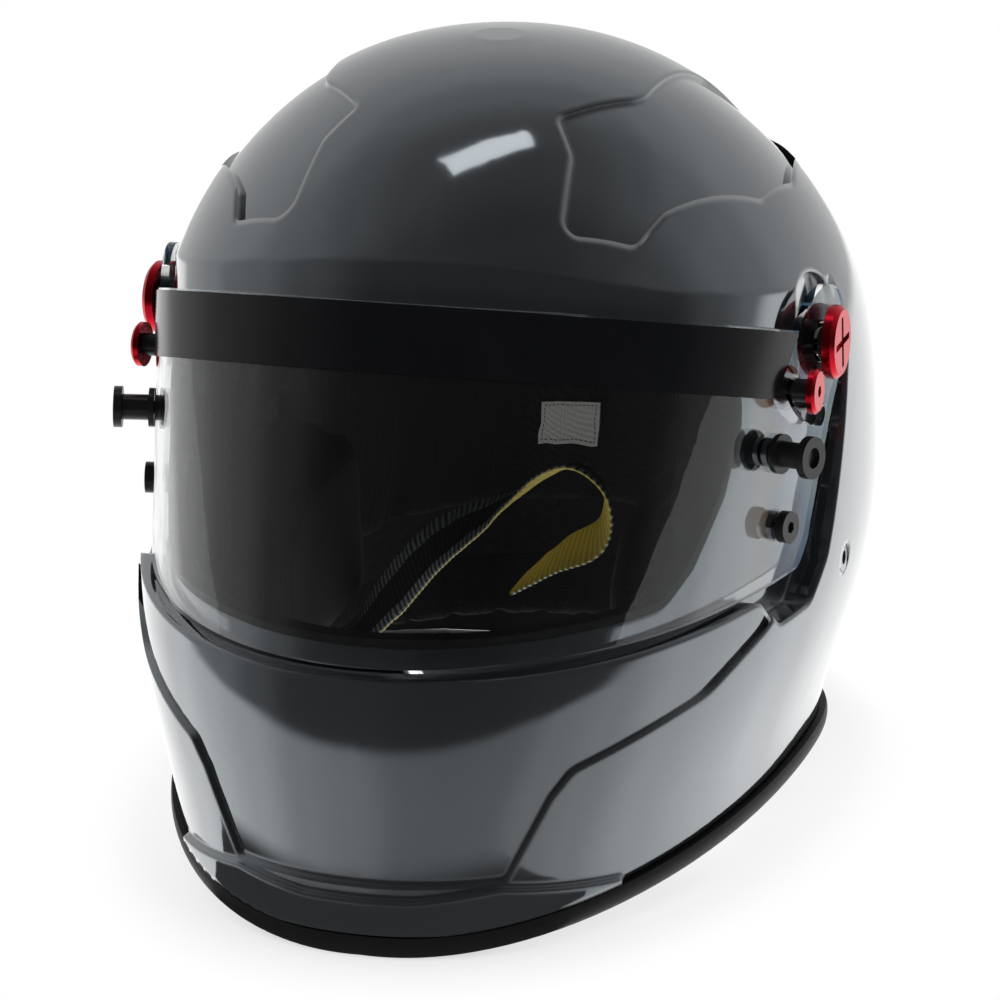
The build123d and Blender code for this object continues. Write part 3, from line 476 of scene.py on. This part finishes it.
# Hardware
# Aluminium screws, posts and studs, bead-blasted and anodised red or black, and plated steel
# nuts, plates and rings.
blasted_grain = 1800.0
blasted_relief = 0.12
plated_grain = 900.0
plated_relief = 0.1
metal_depth = 0.0001
red_color = (0.62, 0.012, 0.03)
red_other = (0.52, 0.008, 0.02)
red_roughness = 0.27
black_color = (0.010, 0.010, 0.011)
black_other = (0.016, 0.016, 0.017)
black_roughness = 0.3
black_specular = 0.3
steel_color = (0.50, 0.50, 0.52)
steel_other = (0.42, 0.42, 0.44)
steel_roughness = 0.3
dress(rough_surface("red_anodised", red_color, red_other, red_roughness, blasted_grain,
                    blasted_relief, metal_depth, metallic=1.0), "red_anodised")
dress(rough_surface("black_anodised", black_color, black_other, black_roughness, blasted_grain,
                    blasted_relief, metal_depth, specular=black_specular), "black_anodised")
dress(rough_surface("steel", steel_color, steel_other, steel_roughness, plated_grain, plated_relief,
                    metal_depth, metallic=1.0), "steel")


# Impact liner and chin liner
# Black bead foam, moulded to fit the shell's dome and chin bar and pressed into them. The packed
# beads meet in fine dark seams.
bead_scale = 330.0
bead_color = (0.016, 0.016, 0.017)
bead_seam = (0.007, 0.007, 0.008)
foam_roughness = 0.75
foam_specular = 0.3
bead_relief = 0.35
bead_depth = -0.0006
liner_foam, tree, shader = new_material("liner_foam")
place = new_node(tree, "ShaderNodeTexCoord")
beads = new_node(tree, "ShaderNodeTexVoronoi")
beads.inputs["Scale"].default_value = bead_scale
tree.links.new(place.outputs["Object"], beads.inputs["Vector"])
tree.links.new(mixed(tree, beads.outputs["Distance"], bead_color, bead_seam), shader.inputs["Base Color"])
shader.inputs["Roughness"].default_value = foam_roughness
shader.inputs["Specular IOR Level"].default_value = foam_specular
relief(tree, shader, beads.outputs["Distance"], bead_relief, bead_depth)
dress(liner_foam, "liner_foam")


# Pad cloth
# Black knitted cloth, drawn over the foam of the crown pad, the cheek pads and the neck roll. Its
# crossed threads stand a little proud of the gaps between them.
knit_color = (0.008, 0.008, 0.009)
knit_other = (0.014, 0.014, 0.015)
knit_threads = 260.0
knit_relief = 0.5
thread_waver = 0.6
thread_depth = 0.0004
cloth_roughness = 0.9
cloth_specular = 0.2


def woven(name, color, other, threads, strength):
    """A woven or knitted cloth: two sets of threads that cross, in the object's own coordinates."""
    material, tree, shader = new_material(name)
    place = new_node(tree, "ShaderNodeTexCoord")
    cross = new_node(tree, "ShaderNodeMath", operation="MULTIPLY")
    for direction, socket in zip("XY", cross.inputs):
        waves = new_node(tree, "ShaderNodeTexWave", bands_direction=direction)
        waves.inputs["Scale"].default_value = threads
        waves.inputs["Distortion"].default_value = thread_waver
        tree.links.new(place.outputs["Object"], waves.inputs["Vector"])
        tree.links.new(waves.outputs["Fac"], socket)
    tree.links.new(mixed(tree, cross.outputs["Value"], color, other), shader.inputs["Base Color"])
    shader.inputs["Roughness"].default_value = cloth_roughness
    shader.inputs["Specular IOR Level"].default_value = cloth_specular
    relief(tree, shader, cross.outputs["Value"], strength, thread_depth)
    return material


pad_cloth = woven("pad_cloth", knit_color, knit_other, knit_threads, knit_relief)
dress(pad_cloth, "pad_cloth")


# Label
# A plain white cloth label, finely woven, that lies flat on the rear of the crown pad and is sewn
# to it along its edges.
label_color = (0.70, 0.70, 0.67)
label_other = (0.82, 0.82, 0.79)
label_threads = 420.0
label_relief = 0.3
dress(woven("label_cloth", label_color, label_other, label_threads, label_relief), "label_cloth")


# Label's stitches
# One row of grey thread round the label, that holds it to the pad. Each stitch is a short rounded
# stroke of thread, and the row follows the label's face.
stitch_pitch = 0.0017
stitch_length = 0.0012
stitch_thickness = 0.0004
stitch_inset = 0.0013
stitch_segments = 10
stitch_rings = 6
stitch_radius = 0.5
label_left = -0.024
label_right = -0.001
label_bottom = 0.082
label_top = 0.097
points_per_side = 12
thread_color = (0.10, 0.10, 0.11)
thread_other = (0.16, 0.16, 0.17)
thread_roughness = 0.8
thread_grain = 2500.0
thread_relief = 0.2
thread_fuzz = 0.0001


def finished(obj):
    """Turns an object's live modifiers into plain geometry."""
    graph = bpy.context.evaluated_depsgraph_get()
    mesh = bpy.data.meshes.new_from_object(obj.evaluated_get(graph))
    obj.modifiers.clear()
    obj.data = mesh
    return mesh


thread_cloth = rough_surface("thread", thread_color, thread_other, thread_roughness, thread_grain,
                             thread_relief, thread_fuzz)
label = nodes["sewn_label"]
into_label = label.matrix_world.inverted()
ahead = into_label.to_3x3() @ Vector((0.0, 1.0, 0.0))
row_left = label_left + stitch_inset
row_right = label_right - stitch_inset
row_bottom = label_bottom + stitch_inset
row_top = label_top - stitch_inset
corners = [(row_left, row_bottom), (row_right, row_bottom), (row_right, row_top), (row_left, row_top)]
row = []
for start, end in zip(corners, corners[1:] + corners[:1]):
    for step in range(points_per_side):
        share = step / points_per_side
        x = start[0] + (end[0] - start[0]) * share
        z = start[1] + (end[1] - start[1]) * share
        face = label.ray_cast(into_label @ Vector((x, 0.0, z)), ahead)[1]
        row.append(label.matrix_world @ face)
row_mesh = bpy.data.meshes.new("label_stitches")
row_mesh.from_pydata(row, [(i, (i + 1) % len(row)) for i in range(len(row))], [])
stitches = bpy.data.objects.new("label_stitches", row_mesh)
scene.collection.objects.link(stitches)
stitch_sizes = {"Pitch": stitch_pitch, "Length": stitch_length, "Thickness": stitch_thickness}
sewing = bpy.data.node_groups.new("sewing", "GeometryNodeTree")
sewing.interface.new_socket(name="Geometry", in_out="INPUT", socket_type="NodeSocketGeometry")
sockets = {}
for name, value in stitch_sizes.items():
    sockets[name] = sewing.interface.new_socket(name=name, in_out="INPUT", socket_type="NodeSocketFloat")
    sockets[name].default_value = value
sewing.interface.new_socket(name="Geometry", in_out="OUTPUT", socket_type="NodeSocketGeometry")
given = new_node(sewing, "NodeGroupInput")
result = new_node(sewing, "NodeGroupOutput")
path = new_node(sewing, "GeometryNodeMeshToCurve")
steps = new_node(sewing, "GeometryNodeResampleCurve", mode="LENGTH")
tangent = new_node(sewing, "GeometryNodeInputTangent")
along_row = new_node(sewing, "FunctionNodeAlignRotationToVector", axis="X")
stitch = new_node(sewing, "GeometryNodeMeshUVSphere")
stitch.inputs["Segments"].default_value = stitch_segments
stitch.inputs["Rings"].default_value = stitch_rings
stitch.inputs["Radius"].default_value = stitch_radius
shape = new_node(sewing, "ShaderNodeCombineXYZ")
placed = new_node(sewing, "GeometryNodeInstanceOnPoints")
real = new_node(sewing, "GeometryNodeRealizeInstances")
colored = new_node(sewing, "GeometryNodeSetMaterial")
colored.inputs["Material"].default_value = thread_cloth
sewing.links.new(given.outputs["Geometry"], path.inputs["Mesh"])
sewing.links.new(path.outputs["Curve"], steps.inputs["Curve"])
sewing.links.new(given.outputs["Pitch"], steps.inputs["Length"])
sewing.links.new(tangent.outputs["Tangent"], along_row.inputs["Vector"])
sewing.links.new(given.outputs["Length"], shape.inputs["X"])
sewing.links.new(given.outputs["Thickness"], shape.inputs["Y"])
sewing.links.new(given.outputs["Thickness"], shape.inputs["Z"])
sewing.links.new(steps.outputs["Curve"], placed.inputs["Points"])
sewing.links.new(stitch.outputs["Mesh"], placed.inputs["Instance"])
sewing.links.new(along_row.outputs["Rotation"], placed.inputs["Rotation"])
sewing.links.new(shape.outputs["Vector"], placed.inputs["Scale"])
sewing.links.new(placed.outputs["Instances"], real.inputs["Geometry"])
sewing.links.new(real.outputs["Geometry"], colored.inputs["Geometry"])
sewing.links.new(colored.outputs["Geometry"], result.inputs["Geometry"])
sewn = stitches.modifiers.new("sewing", "NODES")
sewn.node_group = sewing
for name, value in stitch_sizes.items():
    sewn[sockets[name].identifier] = value
finished(stitches)
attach(stitches, "helmet")


# Crown pad
# Knitted cloth over soft foam, pressed into the dome of the liner. It is sewn through into
# channels that run from front to back.
pad_even = 0.0024
pad_rounds = 12
pad_seam_depth = 0.0022
pad_seam_width = 0.0035
crown_pitch = 0.034


def cushion(name, node, seam_distance, seam_depth=pad_seam_depth):
    """A cloth-covered foam pad in the place of a CAD node: rounded, and drawn in along its seams."""
    source = nodes[node]
    mesh = source.data.copy()
    mesh.transform(source.matrix_world)
    mesh.materials.clear()
    mesh.materials.append(pad_cloth)
    obj = bpy.data.objects.new(name, mesh)
    scene.collection.objects.link(obj)
    evened = obj.modifiers.new("even", "REMESH")
    evened.mode = "VOXEL"
    evened.voxel_size = pad_even
    evened.use_smooth_shade = True
    softened = obj.modifiers.new("soft", "SMOOTH")
    softened.iterations = pad_rounds
    mesh = finished(obj)
    places = np.empty(3 * len(mesh.vertices))
    normals = np.empty(3 * len(mesh.vertices))
    mesh.vertices.foreach_get("co", places)
    mesh.vertices.foreach_get("normal", normals)
    places = places.reshape(-1, 3)
    normals = normals.reshape(-1, 3)
    drawn = seam_depth * np.exp(-(seam_distance(places) / pad_seam_width) ** 2)
    mesh.vertices.foreach_set("co", (places - normals * drawn[:, None]).reshape(-1))
    mesh.update()
    if len(mesh.materials) == 0:
        mesh.materials.append(pad_cloth)
    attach(obj, "helmet")
    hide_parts(node)


def from_rows(value, pitch):
    """Distance to the nearest of evenly spaced rows."""
    return np.abs((value / pitch + 0.5) % 1 - 0.5) * pitch


cushion("crown_cushion", "crown_pad", lambda p: from_rows(p[:, 0], crown_pitch))


# Cheek pads
# Thick firm foam pads under knitted cloth on both sides of the face, pressed in below the liner.
# Each has a seam round its inner face.
cheek_seam_x = 0.070
for word in ("left", "right"):
    cushion("cheek_cushion_" + word, "cheek_pad_" + word,
            lambda p: np.abs(np.abs(p[:, 0]) - cheek_seam_x))


# Neck roll
# A roll of soft foam in the same cloth, fixed along the shell's lower rear edge and sewn across at
# even steps.
roll_pitch = radians(14.0)
roll_reach = 0.12
roll_centre_y = 0.03
roll_seam_depth = 0.0016
cushion("neck_cushion", "neck_roll",
        lambda p: from_rows(np.arctan2(p[:, 0], p[:, 1] - roll_centre_y), roll_pitch) * roll_reach,
        roll_seam_depth)


# Webbing of the chin strap
# A woven band 25 mm wide with ribbed edges: black on one face, straw yellow on the other, with
# grey ribs along the selvedge. The strip's own coordinates run along it and round it. The wave
# texture that draws the ribs runs 20 radians for each unit of its scale.
strap_half_width = 0.0125
strap_thickness = 0.0019
strap_y = 0.0015
rib_pitch = 0.0023
rib_proud = 0.0002
wave_radians = 20
curve_steps = 24
round_points = 24
flat_power = 0.35
thick_power = 0.6
lean_start = 0.22
lean_back_share = 0.55
cut_end_place = 0.2
black_face = (0.008, 0.008, 0.009, 1.0)
yellow_face = (0.80, 0.68, 0.18, 1.0)
yellow_gap = (0.56, 0.46, 0.10, 1.0)
grey_edge = (0.62, 0.66, 0.68, 1.0)
round_stops = [(0.0, grey_edge), (0.22, black_face), (0.30, grey_edge), (0.5, yellow_face)]
band_roughness = 0.85
band_relief = 0.5
band_depth = 0.0005
band_cloth, tree, shader = new_material("webbing")
uv = new_node(tree, "ShaderNodeUVMap", uv_map="strip")
split = new_node(tree, "ShaderNodeSeparateXYZ")
faces = new_node(tree, "ShaderNodeValToRGB")
faces.color_ramp.interpolation = "CONSTANT"
while len(faces.color_ramp.elements) < len(round_stops):
    faces.color_ramp.elements.new(new_stop)
for element, (position, color) in zip(faces.color_ramp.elements, round_stops):
    element.position = position
    element.color = color
gaps = new_node(tree, "ShaderNodeValToRGB")
gaps.color_ramp.interpolation = "CONSTANT"
gaps.color_ramp.elements[0].color = black_face
gaps.color_ramp.elements[1].position = round_stops[-1][0]
gaps.color_ramp.elements[1].color = yellow_gap
ribs = new_node(tree, "ShaderNodeTexWave")
ribs.inputs["Scale"].default_value = 2 * pi / (wave_radians * rib_pitch)
tree.links.new(uv.outputs["UV"], split.inputs["Vector"])
tree.links.new(uv.outputs["UV"], ribs.inputs["Vector"])
tree.links.new(split.outputs["Y"], faces.inputs["Fac"])
tree.links.new(split.outputs["Y"], gaps.inputs["Fac"])
tree.links.new(mixed(tree, ribs.outputs["Fac"], gaps.outputs["Color"], faces.outputs["Color"]),
               shader.inputs["Base Color"])
shader.inputs["Roughness"].default_value = band_roughness
relief(tree, shader, ribs.outputs["Fac"], band_relief, band_depth)


def curve_through(corners, count):
    """Points along a smooth curve through the corners, evenly spaced, and their lengths along it."""
    corners = np.array(corners)
    padded = np.vstack([2 * corners[0] - corners[1], corners, 2 * corners[-1] - corners[-2]])
    t = np.linspace(0, 1, curve_steps, endpoint=False)[:, None]
    dense = []
    for a, b, c, d in zip(padded, padded[1:], padded[2:], padded[3:]):
        dense.append(0.5 * (2 * b + (c - a) * t + (2 * a - 5 * b + 4 * c - d) * t ** 2
                            + (3 * b - a - 3 * c + d) * t ** 3))
    dense = np.vstack(dense + [corners[-1:]])
    lengths = np.concatenate([[0], np.cumsum(np.linalg.norm(np.diff(dense, axis=0), axis=1))])
    even = np.linspace(0, lengths[-1], count)
    across = np.interp(even, lengths, dense[:, 0])
    upward = np.interp(even, lengths, dense[:, 1])
    return np.stack([across, upward], axis=1), even


def webbing(name, node, corners, count, lean=0.0):
    """A band of webbing along a path in the front view, leaning one way and then the other."""
    path, along = curve_through(corners, count)
    direction = np.gradient(path, axis=0)
    direction = direction / np.linalg.norm(direction, axis=1, keepdims=True)
    side = np.stack([-direction[:, 1], direction[:, 0]], axis=1)
    angle = np.linspace(0, 2 * pi, round_points, endpoint=False)
    flat = np.sign(np.cos(angle)) * np.abs(np.cos(angle)) ** flat_power
    thick = np.sign(np.sin(angle)) * np.abs(np.sin(angle)) ** thick_power
    rib = 1 + rib_proud / strap_half_width * np.sin(2 * pi * along / rib_pitch)
    places = np.zeros((count, round_points, 3))
    share = along / along[-1]
    turn = lean * np.sin(2 * pi * np.clip((share - lean_start) / (1 - lean_start), 0, 1))
    turn = np.where(turn < 0, turn * lean_back_share, turn)
    turn = turn[:, None]
    width = flat[None, :] * strap_half_width * rib[:, None]
    height = (thick * strap_thickness / 2)[None, :]
    offset = width * np.sin(turn) + height * np.cos(turn)
    places[..., 0] = path[:, None, 0] + side[:, None, 0] * offset
    places[..., 2] = path[:, None, 1] + side[:, None, 1] * offset
    places[..., 1] = strap_y + width * np.cos(turn) - height * np.sin(turn)
    index = np.arange(count * round_points).reshape(count, round_points)
    following = np.roll(index, -1, axis=1)
    quads = np.stack([index[:-1], following[:-1], following[1:], index[1:]], axis=-1).reshape(-1, 4)
    ends = [index[0, ::-1].tolist(), index[-1].tolist()]
    mesh = bpy.data.meshes.new(name)
    mesh.from_pydata(places.reshape(-1, 3).tolist(), [], quads.tolist() + ends)
    rows, columns = np.divmod(np.arange(len(quads)), round_points)
    around = np.arange(round_points + 1) / round_points
    corner_u = np.stack([along[rows], along[rows], along[rows + 1], along[rows + 1]], axis=1)
    corner_v = np.stack([around[columns], around[columns + 1], around[columns + 1], around[columns]],
                        axis=1)
    corner_uv = np.stack([corner_u, corner_v], axis=-1).reshape(-1)
    end_uv = np.full(4 * round_points, cut_end_place)
    layer = mesh.uv_layers.new(name="strip")
    layer.data.foreach_set("uv", np.concatenate([corner_uv, end_uv]))
    mesh.polygons.foreach_set("use_smooth", [True] * len(quads) + [False, False])
    mesh.materials.append(band_cloth)
    obj = bpy.data.objects.new(name, mesh)
    scene.collection.objects.link(obj)
    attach(obj, "helmet")
    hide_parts(node)


# Long end of the chin strap, on the wearer's right
# It turns round the hanger's foot bar, crosses the opening and curls back at its free end. Its run
# is given in shares of the bar's distance from the middle and of the shell's height.
bar_x = 0.1054
shell_height = 0.274
long_rings = 900
long_lean = radians(38)
round_the_bar = [(0.016, 0.0350), (0.008, 0.0337), (0.002, 0.0316), (0.0, 0.0313), (-0.0022, 0.0325),
                 (-0.0024, 0.0352), (-0.0010, 0.0371), (0.0018, 0.0374)]
run_shares = [(-0.83, 0.141), (-0.585, 0.163), (-0.434, 0.226), (-0.245, 0.307), (0.009, 0.372),
              (0.179, 0.423), (0.292, 0.431), (0.377, 0.394), (0.349, 0.339), (0.208, 0.307),
              (0.057, 0.263)]
long_path = [(-bar_x + x, z) for x, z in round_the_bar]
long_path += [(x * bar_x, z * shell_height) for x, z in run_shares]
webbing("strap_long", "chin_strap_long", long_path, long_rings, lean=long_lean)


# Short end of the chin strap, on the wearer's left
# It turns round its own hanger's foot bar and goes through both rings in a loop, which is sewn
# down on itself.
ring_x = 0.072
strap_z = 0.0373
ring_offset = 0.0023
ring_wire = 0.0016
loop_clearance = 0.0013
loop_entry = 0.008
loop_tail = 0.010
short_rings = 360
ring_reach = ring_offset + ring_wire + loop_clearance
loop_places = [(ring_reach + loop_entry, 0.0012), (ring_reach, 0.0022), (0.0, 0.0029),
               (-ring_reach, 0.0015), (-ring_reach, -0.0015), (0.0, -0.0029),
               (ring_reach, -0.0026), (ring_reach + loop_tail, -0.0018)]
short_path = [(bar_x - x, z) for x, z in round_the_bar]
short_path += [(ring_x + x, strap_z + z) for x, z in loop_places]
webbing("strap_short", "chin_strap_short", short_path, short_rings)
